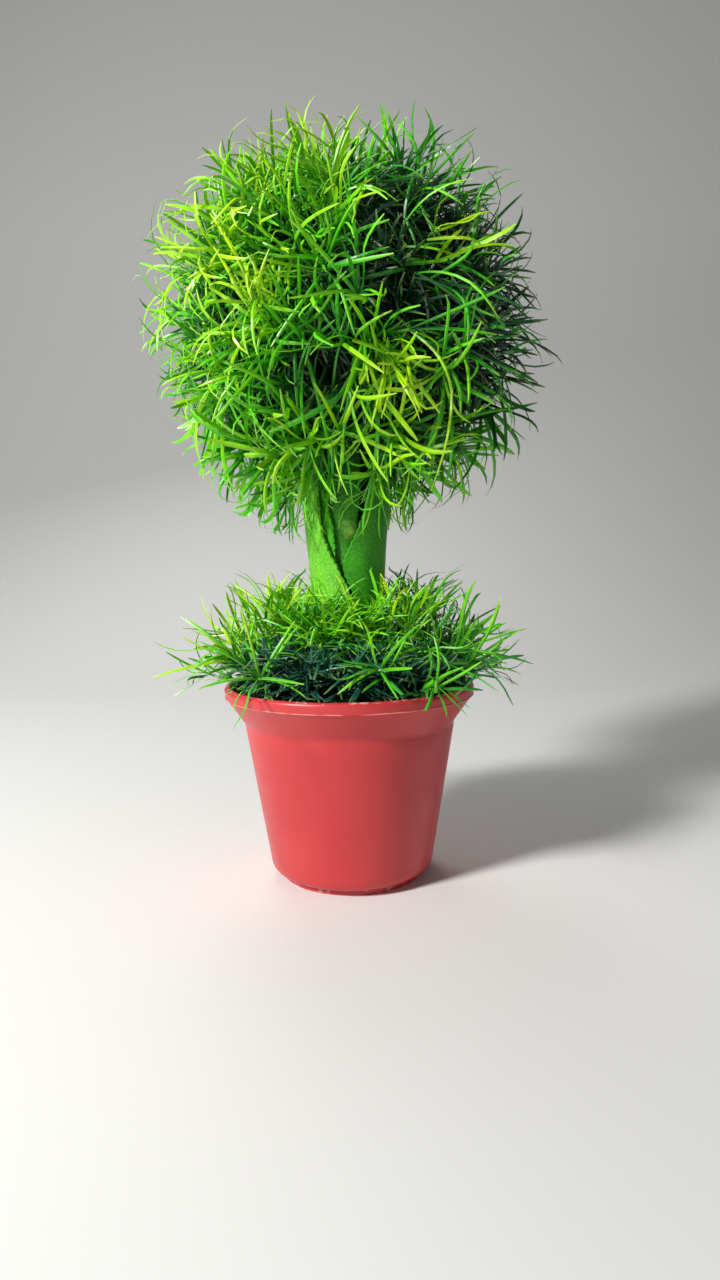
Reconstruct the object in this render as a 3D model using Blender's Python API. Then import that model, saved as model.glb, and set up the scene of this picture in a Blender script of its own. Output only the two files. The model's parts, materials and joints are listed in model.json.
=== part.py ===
"""Artificial tabletop tree: a ball of plastic foliage on a leaf-wrapped trunk in a weighted pot.

Metres, +Z up. The pot's foot rests on Z = 0, with the pole on the Z axis and the front at -Y.
The ball, with its hub, frame and sprigs, turns on the pole about +Z.
"""

import math
import random

import bmesh
import bpy
import numpy as np
from mathutils import Matrix, Vector

# ---- driving sizes -------------------------------------------------------------------------

FIT_GAP = 0.0003  # clearance between pieces that touch

POT_HEIGHT = 0.1015
RIM_RADIUS = 0.0650
LIP_HEIGHT = 0.0055
LIP_ROUND = 0.0020
LIP_STEP = 0.0009  # how far the collar starts inside the lip's lower edge
COLLAR_HEIGHT = 0.0160
BODY_RADIUS = 0.0545  # just under the collar
NECK_FILLET = 0.0060
BASE_RADIUS = 0.0430
BASE_ROUND = 0.0060
FOOT_RADIUS = 0.0365
FOOT_HEIGHT = 0.0030
POT_WALL = 0.0022
POT_SIDES = 36

BALLAST_TOP = 0.0520
FOAM_DEPTH = 0.0133  # of the foam's top, below the rim
POCKET_DEPTH = 0.0120  # in the foam, for the feet of the trunk leaves
MAT_THICKNESS = 0.0030
TURNED_SIDES = 24  # of the turned pieces other than the pot

POLE_RADIUS = 0.0060
POLE_BEVEL = 0.0008
POLE_FOOT_DEPTH = 0.0400  # how deep the ballast holds the pole
SLEEVE_END_GAP = 0.0100  # between the sleeve's top and the hub

TRUNK_FOOT_RADII = (0.0172, 0.0182)  # in the foam's pocket and at the mat
TRUNK_DEPTHS = (0.0820, 0.0570, 0.0370, 0.0065, -0.0010, -0.0260)  # below the hub's underside
TRUNK_RADII = (0.0193, 0.0214, 0.0233, 0.0190, 0.0165, 0.0148)  # at those depths
LEAF_END = 3  # which of those depths the outer leaves end at
LEAF_THICKNESS = 0.0018
LAYER_GAP = 0.0009  # between one layer of leaves and the next
LEAF_STEP = 12.0  # degrees round the trunk for each flat of a leaf
LEAF_SMOOTH_ANGLE = math.radians(40)

BALL_CENTRE_HEIGHT = 0.2810
BALL_RADIUS = 0.1040
FRAME_RADIUS = 0.0450
FRAME_THICKNESS = 0.0030
FRAME_BAR = 0.0017  # half the width of a lattice bar
SOCKET_PAD = 0.0060  # from a socket's middle to its pad's corners
MOUTH_ANGLE = math.radians(28.5)  # of the lower frame's opening, from straight down
MOUTH_CORNERS = 12
EQUATOR_CORNERS = 9

HUB_WALL = 0.0030
HUB_FLANGE = 0.0052  # how far the flange stands out from the cage
HUB_RISE = 0.0080  # of the hub's top over the ball's centre
HUB_BAND = 0.0035  # solid band above and below the hub's windows
HUB_SLEEVE = 0.0210  # length of the sleeve that hangs over the pole's end
POST_WIDTH = 0.0042
POSTS = 4
FIRST_POST_ANGLE = math.radians(-84)

PEG_RADIUS = 0.0016
PEG_LENGTH = 0.0040
PEG_CLEARANCE = 0.0006
COLLAR_RADIUS = 0.0033
SPRIG_SIDES = 5
SPRIG_ROWS = (  # latitude, number of sprigs, longitude of the first, all in degrees
    (90, 1, 0),
    (53, 6, 30),
    (17, 9, 20),
    (-17, 9, 0),
    (-50, 6, 10),
)
SPRIG_SPREAD = math.radians(15.2)  # half-angle of the cone that holds a ball sprig
SPRIG_WHORLS = (  # height over the frame, reach and spread as shares of the sprig's
    (0.0035, 0.80, 1.00),
    (0.0190, 0.93, 0.96),
    (0.0350, 0.99, 0.55),
)
STEM_RADIUS = 0.0019
STEM_TIP_RADIUS = 0.0003
WHORL_HEIGHT = 0.0026
BLADE_TIP = 0.14  # size of a blade's tip as a share of its root

TUFTS = 12
TUFT_RING_RADIUS = 0.0360
TUFT_CROWN = 0.0100  # height of a tuft's crown over the mat
GRASS_RADIUS = 0.1020
GRASS_RISE = 0.0585  # of the tallest blades, over the rim
ARCH_REACHES = (1.00, 0.93, 0.80)  # of the three blades that arch over the rim, lowest first
ARCH_RISES = (0.018, 0.033, 0.050)
ARCH_DROOPS = (0.0, 0.6, 1.0)  # where the tip ends, as a share of the rise
UPRIGHT_LEANS = (0.95, 0.70, 0.45)
UPRIGHT_HEIGHTS = (0.62, 0.80, 0.98)

# ---- sizes that follow ---------------------------------------------------------------------

NECK_HEIGHT = POT_HEIGHT - LIP_HEIGHT - COLLAR_HEIGHT
CAVITY_HEIGHTS = (
    POT_WALL,
    FOOT_HEIGHT + POT_WALL,
    FOOT_HEIGHT + BASE_ROUND,
    NECK_HEIGHT,
    POT_HEIGHT - LIP_ROUND,
)
CAVITY_RADII = (
    FOOT_RADIUS - POT_WALL,
    BASE_RADIUS - BASE_ROUND,
    BASE_RADIUS - POT_WALL,
    BODY_RADIUS - POT_WALL,
    RIM_RADIUS - POT_WALL,
)
FOAM_TOP = POT_HEIGHT - FOAM_DEPTH
GRASS_TOP = POT_HEIGHT + GRASS_RISE
MAT_BOTTOM = FOAM_TOP + FIT_GAP
MAT_TOP = MAT_BOTTOM + MAT_THICKNESS
POCKET_FLOOR = FOAM_TOP - POCKET_DEPTH
LEAF_FOOT = POCKET_FLOOR + FIT_GAP
POLE_BORE = POLE_RADIUS + FIT_GAP
HUB_BOTTOM = BALL_CENTRE_HEIGHT - FRAME_RADIUS * math.cos(MOUTH_ANGLE) - FIT_GAP - HUB_WALL
HUB_TOP = BALL_CENTRE_HEIGHT + HUB_RISE
MOUTH_RADIUS = (FRAME_RADIUS - FRAME_THICKNESS) * math.sin(MOUTH_ANGLE)
HUB_RADIUS = MOUTH_RADIUS * math.cos(math.pi / MOUTH_CORNERS) - FIT_GAP
SOCKET_RADIUS = PEG_RADIUS + PEG_CLEARANCE
TRUNK_HEIGHTS = (POCKET_FLOOR, MAT_TOP, *(HUB_BOTTOM - depth for depth in TRUNK_DEPTHS))
LEAF_TOP = HUB_BOTTOM - TRUNK_DEPTHS[LEAF_END]


def cavity_radius(height):
    """Inner radius of the pot."""
    return float(np.interp(height, CAVITY_HEIGHTS, CAVITY_RADII))


def trunk_radius(height):
    """Outer radius of the trunk's outermost leaves."""
    return float(np.interp(height, TRUNK_HEIGHTS, (*TRUNK_FOOT_RADII, *TRUNK_RADII)))


# ---- helpers -------------------------------------------------------------------------------


def clear_scene():
    for thing in list(bpy.data.objects):
        bpy.data.objects.remove(thing, do_unlink=True)


def material(name, colour, roughness):
    made = bpy.data.materials.new(name)
    made.use_nodes = True
    shader = made.node_tree.nodes["Principled BSDF"]
    shader.inputs["Base Color"].default_value = (*colour, 1.0)
    shader.inputs["Roughness"].default_value = roughness
    shader.inputs["Metallic"].default_value = 0.0
    return made


def add_object(name, bm, finish):
    """A named object from a finished bmesh, with its faces turned outward."""
    bmesh.ops.recalc_face_normals(bm, faces=bm.faces)
    if bm.calc_volume(signed=True) < 0:
        bmesh.ops.reverse_faces(bm, faces=bm.faces)
    return link_object(name, bm, finish)


def link_object(name, bm, finish):
    mesh = bpy.data.meshes.new(name)
    bm.to_mesh(mesh)
    bm.free()
    mesh.materials.append(finish)
    made = bpy.data.objects.new(name, mesh)
    bpy.context.scene.collection.objects.link(made)
    return made


def arc(centre, radius, start, end, steps):
    """Points of an arc in the plane of radius and height; angles in degrees."""
    angles = np.radians(np.linspace(start, end, steps + 1))
    return [(centre[0] + radius * math.cos(a), centre[1] + radius * math.sin(a)) for a in angles]


def lathe(name, outline, finish, sides):
    """A turned piece: (radius, height) points swept round Z, a loop unless it starts on the axis."""
    bm = bmesh.new()
    points = [bm.verts.new((r, 0.0, z)) for r, z in outline]
    for a, b in zip(points, points[1:]):
        bm.edges.new((a, b))
    if outline[0][0] > 0.0:
        bm.edges.new((points[-1], points[0]))
    made = link_object(name, bm, finish)
    turn = made.modifiers.new("turn", "SCREW")
    turn.axis = "Z"
    turn.angle = math.tau
    turn.steps = sides
    turn.render_steps = sides
    turn.use_merge_vertices = True
    turn.merge_threshold = 0.00001
    turn.use_smooth_shade = True
    return made


def cut(target, name, cutter_bm):
    """Subtract the closed bodies of cutter_bm from the target."""
    cutter = add_object(name, cutter_bm, target.data.materials[0])
    cutter.hide_render = True
    cutter.display_type = "WIRE"
    taking = target.modifiers.new(name, "BOOLEAN")
    taking.operation = "DIFFERENCE"
    taking.solver = "EXACT"
    taking.object = cutter
    return cutter


def drill(holes, place, depth):
    """Add a round cutter for a sprig's peg, along +Z of place and centred on it."""
    bmesh.ops.create_cone(
        holes,
        cap_ends=True,
        segments=SPRIG_SIDES + 1,
        radius1=SOCKET_RADIUS,
        radius2=SOCKET_RADIUS,
        depth=depth,
        matrix=place,
    )


def sprig_rotation(latitude, longitude):
    """Local +Z turned to point out of the ball at a latitude and longitude."""
    return Matrix.Rotation(longitude, 4, "Z") @ Matrix.Rotation(math.pi / 2 - latitude, 4, "Y")


def on_frame(latitude, longitude):
    return sprig_rotation(latitude, longitude) @ Vector((0.0, 0.0, FRAME_RADIUS))


def row_directions(rows):
    for latitude, count, first in rows:
        for i in range(count):
            yield math.radians(latitude), math.radians(first + 360 * i / count)


# ---- pot and what fills it -----------------------------------------------------------------


def cavity_wall(bottom, top, gap):
    """The side of a filling that keeps a gap to the pot's inner wall, from the top down."""
    bends = [z for z in CAVITY_HEIGHTS if bottom < z < top]
    return [(cavity_radius(z) - gap, z) for z in [top, *reversed(bends), bottom]]


def pot(finish):
    lip_bottom = POT_HEIGHT - LIP_HEIGHT
    lip_middle = (RIM_RADIUS - LIP_ROUND, POT_HEIGHT - LIP_ROUND)
    neck_middle = (BODY_RADIUS + NECK_FILLET, NECK_HEIGHT)
    base_middle = (BASE_RADIUS - BASE_ROUND, FOOT_HEIGHT + BASE_ROUND)
    outline = [(0.0, POT_WALL)]
    outline += reversed(cavity_wall(POT_WALL, POT_HEIGHT - LIP_ROUND, 0.0))
    outline += [(RIM_RADIUS - LIP_ROUND, POT_HEIGHT)]
    outline += arc(lip_middle, LIP_ROUND, 70, 0, 3)
    outline += [(RIM_RADIUS - LIP_STEP / 2, lip_bottom)]
    outline += [(RIM_RADIUS - LIP_STEP, lip_bottom - LIP_STEP)]
    outline += arc(neck_middle, NECK_FILLET, 150, 185, 4)
    outline += arc(base_middle, BASE_ROUND, 0, -90, 4)
    outline += [(FOOT_RADIUS, FOOT_HEIGHT), (FOOT_RADIUS, 0.0), (0.0, 0.0)]
    return lathe("pot", outline, finish, POT_SIDES)


def ballast_block(finish):
    """Cast cement in the bottom of the pot, with a blind hole that holds the pole's foot."""
    floor = POT_WALL + FIT_GAP
    hole_floor = BALLAST_TOP - POLE_FOOT_DEPTH - FIT_GAP
    outline = [(0.0, hole_floor), (POLE_BORE, hole_floor), (POLE_BORE, BALLAST_TOP)]
    outline += cavity_wall(floor, BALLAST_TOP, FIT_GAP)
    outline += [(0.0, floor)]
    return lathe("ballast_block", outline, finish, TURNED_SIDES)


def foam_plug(finish):
    """Foam over the ballast, with a pocket for the feet of the trunk's leaves."""
    bottom = BALLAST_TOP + FIT_GAP
    pocket = trunk_radius(FOAM_TOP) + FIT_GAP
    outline = [(POLE_BORE, bottom), (POLE_BORE, POCKET_FLOOR)]
    outline += [(pocket, POCKET_FLOOR), (pocket, FOAM_TOP)]
    outline += cavity_wall(bottom, FOAM_TOP, FIT_GAP)
    return lathe("foam_plug", outline, finish, TURNED_SIDES)


def tuft_rotation(index):
    return Matrix.Rotation(math.tau * (index + 0.5) / TUFTS, 4, "Z")


def grass_mat(finish):
    """A disc that holds the tufts' pegs, open in the middle for the trunk."""
    bore = trunk_radius(MAT_TOP) + FIT_GAP
    edge = cavity_radius(MAT_BOTTOM) - FIT_GAP
    outline = [(bore, MAT_BOTTOM), (bore, MAT_TOP), (edge, MAT_TOP), (edge, MAT_BOTTOM)]
    mat = lathe("grass_mat", outline, finish, TURNED_SIDES)
    holes = bmesh.new()
    across = Matrix.Translation((TUFT_RING_RADIUS, 0.0, (MAT_BOTTOM + MAT_TOP) / 2))
    for index in range(TUFTS):
        drill(holes, tuft_rotation(index) @ across, 3 * MAT_THICKNESS)
    cut(mat, "mat_holes", holes)


# ---- trunk ---------------------------------------------------------------------------------


def trunk_pole(finish):
    """A rod from the ballast to the hub, bevelled at its top so that the hub slips on."""
    bottom = BALLAST_TOP - POLE_FOOT_DEPTH
    top = HUB_TOP - HUB_WALL - FIT_GAP
    outline = [(0.0, top), (POLE_RADIUS - POLE_BEVEL, top), (POLE_RADIUS, top - POLE_BEVEL)]
    outline += [(POLE_RADIUS, bottom), (0.0, bottom)]
    return lathe("trunk_pole", outline, finish, TURNED_SIDES)


def trunk_sleeve(finish):
    """A tube over the pole that the leaves are wrapped on."""
    outer = trunk_radius(LEAF_FOOT) - 2 * (LEAF_THICKNESS + LAYER_GAP)
    top = HUB_BOTTOM - SLEEVE_END_GAP
    outline = [(POLE_BORE, LEAF_FOOT), (POLE_BORE, top), (outer, top), (outer, LEAF_FOOT)]
    return lathe("trunk_sleeve", outline, finish, TURNED_SIDES)


def leaf_heights(top, left_edge, right_edge):
    """Heights of a leaf's rows: closer together where an edge slants round the trunk."""
    edges = (left_edge, right_edge)
    bends = {*TRUNK_HEIGHTS, *(z for edge in edges for z, _ in edge)}
    bends = sorted({LEAF_FOOT, top, *(z for z in bends if LEAF_FOOT < z < top)})
    rows = [LEAF_FOOT]
    for low, high in zip(bends, bends[1:]):
        slant = max(abs(float(np.diff(np.interp((low, high), *zip(*edge)))[0])) for edge in edges)
        rows += list(np.linspace(low, high, 1 + max(1, math.ceil(slant / LEAF_STEP))))[1:]
    return rows


def trunk_leaf(name, layer, top, left_edge, right_edge, finish):
    """A leaf wrapped round the trunk, between two edges given as (height, degrees) points.

    Degrees count about +Z from +X, so the front is at -90 and a leaf runs from its left edge to
    its right edge as seen from outside. Layer 0 is outermost.
    """
    inset = layer * (LEAF_THICKNESS + LAYER_GAP)
    heights = leaf_heights(top, left_edge, right_edge)
    starts = np.interp(heights, *zip(*left_edge))
    ends = np.interp(heights, *zip(*right_edge))
    columns = 1 + math.ceil(float(max(ends - starts)) / LEAF_STEP)
    bm = bmesh.new()
    outer_rows = []
    inner_rows = []
    for z, start, end in zip(heights, starts, ends):
        angles = np.radians(np.linspace(start, end, columns))
        for rows, depth in ((outer_rows, inset), (inner_rows, inset + LEAF_THICKNESS)):
            radius = trunk_radius(z) - depth
            row = [(radius * math.cos(a), radius * math.sin(a), z) for a in angles]
            rows.append([bm.verts.new(co) for co in row])
    for rows in (outer_rows, inner_rows):
        for lower, upper in zip(rows, rows[1:]):
            for i in range(columns - 1):
                bm.faces.new((lower[i], lower[i + 1], upper[i + 1], upper[i]))
    rims = [e for e in bm.edges if e.is_boundary]
    bmesh.ops.bridge_loops(bm, edges=rims)
    leaf = add_object(name, bm, finish)
    leaf.data.shade_smooth()
    leaf.data.set_sharp_from_angle(angle=LEAF_SMOOTH_ANGLE)


def trunk_leaves(finish):
    """Three leaves outside and two set in behind the gap between them at the front."""
    foot = TRUNK_HEIGHTS[0]
    waist, middle, flare = TRUNK_HEIGHTS[2:5]
    tip = TRUNK_HEIGHTS[-1]
    left_back = [(foot, -238), (LEAF_TOP, -207)]
    left_front = [(foot, -70), (waist, -97), (middle, -121), (flare, -125), (LEAF_TOP, -130)]
    right_front = [(foot, -58), (waist, -88), (middle, -66), (flare, -54), (LEAF_TOP, -44)]
    right_back = [(foot, 62), (LEAF_TOP, 40)]
    rear_start = [(foot, 64), (LEAF_TOP, 43)]
    rear_end = [(foot, 120), (LEAF_TOP, 150)]
    inner_start = [(foot, -200), (LEAF_TOP, -215)]
    inner_end = [(foot, -100), (LEAF_TOP, -104)]
    middle_start = [(foot, -97), (LEAF_TOP, -101), (tip, -112)]
    middle_end = [(foot, -62), (LEAF_TOP, -66), (tip, -74)]
    trunk_leaf("outer_leaf_left", 0, LEAF_TOP, left_back, left_front, finish)
    trunk_leaf("outer_leaf_right", 0, LEAF_TOP, right_front, right_back, finish)
    trunk_leaf("rear_leaf", 0, LEAF_TOP, rear_start, rear_end, finish)
    trunk_leaf("inner_leaf_left", 1, LEAF_TOP, inner_start, inner_end, finish)
    trunk_leaf("middle_leaf", 1, tip, middle_start, middle_end, finish)


# ---- ball frame and hub --------------------------------------------------------------------


def lattice_corners(bm, rows, side):
    """Corners of half the frame: one at each socket, and those of its open edges."""
    sockets = [bm.verts.new(on_frame(lat, lon)) for lat, lon in row_directions(rows)]
    equator = side * FIT_GAP / 2
    for i in range(EQUATOR_CORNERS):
        ring = on_frame(0.0, math.tau * (i + 0.5) / EQUATOR_CORNERS)
        bm.verts.new((ring.x, ring.y, equator))
    open_levels = [equator]
    if side < 0:
        for i in range(MOUTH_CORNERS):
            bm.verts.new(on_frame(MOUTH_ANGLE - math.pi / 2, math.tau * i / MOUTH_CORNERS))
        open_levels.append(-FRAME_RADIUS * math.cos(MOUTH_ANGLE))
    return sockets, open_levels


def thicken_towards_centre(bm):
    """Give an open lattice its thickness by closing it to a smaller copy of itself."""
    rims = [e for e in bm.edges if e.is_boundary]
    copied = bmesh.ops.duplicate(bm, geom=bm.verts[:] + bm.edges[:] + bm.faces[:])
    inner = copied["vert_map"]
    for item in copied["geom"]:
        if isinstance(item, bmesh.types.BMVert):
            item.co *= 1 - FRAME_THICKNESS / FRAME_RADIUS
    for e in rims:
        a, b = e.verts
        bm.faces.new((a, b, inner[b], inner[a]))


def frame_half(name, rows, side, pivot, finish):
    """Half of the ball's lattice: bars between sockets, one socket under each sprig."""
    bm = bmesh.new()
    sockets, open_levels = lattice_corners(bm, rows, side)
    bmesh.ops.convex_hull(bm, input=bm.verts)
    caps = [
        f
        for f in bm.faces
        if any(all(abs(v.co.z - z) < FIT_GAP / 10 for v in f.verts) for z in open_levels)
    ]
    bmesh.ops.delete(bm, geom=caps, context="FACES_KEEP_BOUNDARY")
    loose = [e for e in bm.edges if not e.link_faces]
    bmesh.ops.delete(bm, geom=loose, context="EDGES")
    cells = set(bm.faces)
    pads = bmesh.ops.bevel(bm, geom=sockets, offset=SOCKET_PAD, affect="VERTICES", segments=1)["faces"]
    pads = {f for f in pads if f not in cells}
    windows = [f for f in bm.faces if f not in pads]
    bmesh.ops.inset_individual(bm, faces=windows, thickness=FRAME_BAR, use_even_offset=True)
    bmesh.ops.delete(bm, geom=windows, context="FACES")
    thicken_towards_centre(bm)
    frame = add_object(name, bm, finish)
    holes = bmesh.new()
    middle = Matrix.Translation((0.0, 0.0, FRAME_RADIUS - FRAME_THICKNESS))
    for latitude, longitude in row_directions(rows):
        drill(holes, sprig_rotation(latitude, longitude) @ middle, 4 * FRAME_THICKNESS)
    cutter = cut(frame, name + "_holes", holes)
    frame.parent = pivot
    cutter.parent = pivot


def ball_hub(pivot, finish):
    """A cage that slips over the pole's end: flange, four posts, a cap and a sleeve."""
    bottom = HUB_BOTTOM - BALL_CENTRE_HEIGHT
    flange_top = bottom + HUB_WALL
    flange_radius = HUB_RADIUS + HUB_FLANGE
    cap_bottom = HUB_RISE - HUB_WALL
    inner = HUB_RADIUS - HUB_WALL
    sleeve_outer = POLE_BORE + HUB_WALL
    sleeve_bottom = cap_bottom - HUB_SLEEVE
    outline = [(0.0, HUB_RISE), (HUB_RADIUS, HUB_RISE), (HUB_RADIUS, flange_top)]
    outline += [(flange_radius, flange_top), (flange_radius, bottom), (inner, bottom)]
    outline += [(inner, cap_bottom), (sleeve_outer, cap_bottom), (sleeve_outer, sleeve_bottom)]
    outline += [(POLE_BORE, sleeve_bottom), (POLE_BORE, cap_bottom), (0.0, cap_bottom)]
    hub = lathe("ball_hub", outline, finish, TURNED_SIDES)
    low = flange_top + HUB_BAND
    high = cap_bottom - HUB_BAND
    span = 2 * inner * math.sin(math.pi / POSTS) - POST_WIDTH
    depth = 2 * (inner - sleeve_outer - FIT_GAP)
    size = Matrix.Diagonal((depth, span, high - low, 1.0))
    place = Matrix.Translation((inner, 0.0, (low + high) / 2))
    windows = bmesh.new()
    for i in range(POSTS):
        turn = Matrix.Rotation(FIRST_POST_ANGLE + math.tau * (i + 0.5) / POSTS, 4, "Z")
        bmesh.ops.create_cube(windows, size=1.0, matrix=turn @ place @ size)
    cutter = cut(hub, "hub_windows", windows)
    hub.parent = pivot
    cutter.parent = pivot


# ---- sprigs --------------------------------------------------------------------------------


def stem(bm, rings):
    """A faceted stem from (radius, height) rings; gives the bands of side faces, bottom up."""
    loops = []
    for radius, height in rings:
        corners = []
        for i in range(SPRIG_SIDES):
            a = math.tau * (i - 0.5) / SPRIG_SIDES
            corners.append(bm.verts.new((radius * math.cos(a), radius * math.sin(a), height)))
        loops.append(corners)
    bm.faces.new(list(reversed(loops[0])))
    bm.faces.new(loops[-1])
    bands = []
    for lower, upper in zip(loops, loops[1:]):
        band = []
        for i in range(SPRIG_SIDES):
            j = (i + 1) % SPRIG_SIDES
            band.append(bm.faces.new((lower[i], lower[j], upper[j], upper[i])))
        bands.append(band)
    return bands


def grow_blade(bm, face, places):
    """Draw a face out into a tapering blade through (point, share of its size) places."""
    middle = face.calc_center_median()
    shape = [v.co - middle for v in face.verts]
    for point, share in places:
        face = bmesh.ops.extrude_discrete_faces(bm, faces=[face])["faces"][0]
        for v, offset in zip(face.verts, shape):
            v.co = point + offset * share


def ball_sprig(name, latitude, longitude, seed, pivot, finish):
    """A stem on a peg with three whorls of blades, all inside its own cone about the ball."""
    chance = random.Random(seed)
    seat = FRAME_RADIUS + FIT_GAP
    rings = [(PEG_RADIUS, seat - PEG_LENGTH), (PEG_RADIUS, seat), (COLLAR_RADIUS, seat)]
    rings += [(COLLAR_RADIUS, seat + SPRIG_WHORLS[0][0])]
    for rise, _, _ in SPRIG_WHORLS[1:]:
        rings += [(STEM_RADIUS, seat + rise - WHORL_HEIGHT), (STEM_RADIUS, seat + rise)]
    rings += [(STEM_TIP_RADIUS, BALL_RADIUS)]
    bm = bmesh.new()
    bands = stem(bm, rings)
    for band, (_, length, spread) in zip(bands[2::2], SPRIG_WHORLS):
        for face in band:
            middle = face.calc_center_median()
            out = Vector((middle.x, middle.y, 0.0)).normalized()
            tilt = SPRIG_SPREAD * spread * chance.uniform(0.88, 1.0)
            far = BALL_RADIUS * length * chance.uniform(0.96, 1.0)
            tip = out * far * math.sin(tilt) + Vector((0.0, 0.0, far * math.cos(tilt)))
            grow_blade(bm, face, [(tip, BLADE_TIP)])
    bm.transform(Matrix.Rotation(chance.uniform(0.0, math.tau), 4, "Z"))
    sprig = add_object(name, bm, finish)
    sprig.parent = pivot
    sprig.rotation_euler = sprig_rotation(latitude, longitude).to_euler()


def arching_blade(level, chance):
    """Places of a blade that leaves its tuft outward and arches over the pot's rim."""
    far = GRASS_RADIUS * ARCH_REACHES[level] * chance.uniform(0.97, 1.0)
    rise = ARCH_RISES[level] * chance.uniform(0.9, 1.1)
    over_rim = Vector((RIM_RADIUS, 0.0, POT_HEIGHT + 0.55 * rise))
    tip = Vector((far, 0.0, POT_HEIGHT + ARCH_DROOPS[level] * rise))
    return [(over_rim, 0.7), (tip, BLADE_TIP)]


def upright_blade(level, around, chance):
    """Place of the tip of a blade that stands up beside the trunk, inside its tuft's sector."""
    outward = math.cos(around)
    far = TUFT_RING_RADIUS * (1 + outward * UPRIGHT_LEANS[level])
    far = max(far, trunk_radius(GRASS_TOP) + COLLAR_RADIUS)
    half_sector = far * math.sin(math.pi / TUFTS)
    side = 0.62 * half_sector * math.copysign(1.0, math.sin(around))
    short = 1 - 0.25 * max(outward, 0.0)
    tall = UPRIGHT_HEIGHTS[level] * short * chance.uniform(0.92, 1.0)
    crown = MAT_TOP + TUFT_CROWN
    return [(Vector((far, side, crown + (GRASS_TOP - crown) * tall)), BLADE_TIP)]


def grass_tuft(name, index, finish):
    """A tuft pegged into the mat: some blades arch over the rim, others stand by the trunk."""
    chance = random.Random(index)
    seat = MAT_TOP + FIT_GAP
    crown = seat + TUFT_CROWN
    rings = [(PEG_RADIUS, seat - MAT_THICKNESS), (PEG_RADIUS, seat), (COLLAR_RADIUS, seat)]
    rings += [(COLLAR_RADIUS, crown - 2 * WHORL_HEIGHT), (COLLAR_RADIUS, crown - WHORL_HEIGHT)]
    rings += [(STEM_RADIUS, crown), (STEM_TIP_RADIUS, GRASS_TOP)]
    bm = bmesh.new()
    bands = stem(bm, rings)
    bm.transform(Matrix.Translation((TUFT_RING_RADIUS, 0.0, 0.0)))
    for level, band in enumerate(bands[2:5]):
        for i, face in enumerate(band):
            if i == 0:
                places = arching_blade(level, chance)
            else:
                places = upright_blade(level, math.tau * i / SPRIG_SIDES, chance)
            grow_blade(bm, face, places)
    tuft = add_object(name, bm, finish)
    tuft.rotation_euler = tuft_rotation(index).to_euler()


# ---- the whole tree ------------------------------------------------------------------------


def main():
    clear_scene()
    red_plastic = material("red_plastic", (0.62, 0.045, 0.04), 0.35)
    cement = material("cement", (0.45, 0.44, 0.42), 0.9)
    foam = material("green_foam", (0.10, 0.22, 0.08), 0.95)
    frame_plastic = material("frame_plastic", (0.012, 0.07, 0.02), 0.25)
    pole_plastic = material("pole_plastic", (0.03, 0.12, 0.03), 0.35)
    leaf_plastic = material("leaf_plastic", (0.06, 0.42, 0.03), 0.45)
    blade_plastic = material("blade_plastic", (0.12, 0.50, 0.02), 0.4)
    grass_plastic = material("grass_plastic", (0.04, 0.30, 0.06), 0.4)

    pot(red_plastic)
    ballast_block(cement)
    foam_plug(foam)
    grass_mat(frame_plastic)
    for index in range(TUFTS):
        grass_tuft(f"grass_tuft_{index + 1:02d}", index, grass_plastic)
    trunk_pole(pole_plastic)
    trunk_sleeve(pole_plastic)
    trunk_leaves(leaf_plastic)

    pivot = bpy.data.objects.new("ball_pivot", None)
    pivot.location = (0.0, 0.0, BALL_CENTRE_HEIGHT)
    bpy.context.scene.collection.objects.link(pivot)
    ball_hub(pivot, frame_plastic)
    frame_half("upper_ball_frame", [row for row in SPRIG_ROWS if row[0] > 0], 1, pivot, frame_plastic)
    frame_half("lower_ball_frame", [row for row in SPRIG_ROWS if row[0] < 0], -1, pivot, frame_plastic)
    for index, (latitude, longitude) in enumerate(row_directions(SPRIG_ROWS)):
        ball_sprig(f"ball_sprig_{index + 1:02d}", latitude, longitude, index, pivot, blade_plastic)


main()
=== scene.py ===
# %% [markdown]
# # A tabletop tree of plastic grass
#
# The object is a ball of plastic foliage on a short trunk wrapped in leaves, standing in a red
# pot with a ring of grass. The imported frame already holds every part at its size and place. This
# lesson adds what the frame leaves plain: curved blades, toothed leaves, the pot's moulded lip,
# and a finish for each plastic.

import json
import math
import random

import bpy
from mathutils import Matrix, Vector


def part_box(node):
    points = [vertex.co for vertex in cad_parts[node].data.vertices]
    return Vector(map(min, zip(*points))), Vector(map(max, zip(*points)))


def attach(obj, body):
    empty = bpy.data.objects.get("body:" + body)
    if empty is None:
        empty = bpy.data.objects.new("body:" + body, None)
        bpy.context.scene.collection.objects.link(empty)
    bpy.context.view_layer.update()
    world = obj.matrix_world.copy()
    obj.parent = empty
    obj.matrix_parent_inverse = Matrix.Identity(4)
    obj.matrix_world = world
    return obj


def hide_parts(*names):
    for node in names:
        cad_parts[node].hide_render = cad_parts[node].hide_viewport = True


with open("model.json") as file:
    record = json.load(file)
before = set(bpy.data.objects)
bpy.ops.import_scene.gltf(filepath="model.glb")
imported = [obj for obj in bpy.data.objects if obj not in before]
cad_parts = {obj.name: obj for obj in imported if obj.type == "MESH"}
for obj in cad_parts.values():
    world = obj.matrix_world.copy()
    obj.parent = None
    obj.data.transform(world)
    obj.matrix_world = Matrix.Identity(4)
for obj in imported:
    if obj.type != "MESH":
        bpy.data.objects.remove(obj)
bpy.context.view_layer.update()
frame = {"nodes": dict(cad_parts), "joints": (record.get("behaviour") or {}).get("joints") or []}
MM = 0.001
swivel = Vector(frame["joints"][0]["pos_m"])
print("frame:", len(frame["nodes"]), "nodes, ball turns about", tuple(swivel))

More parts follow.
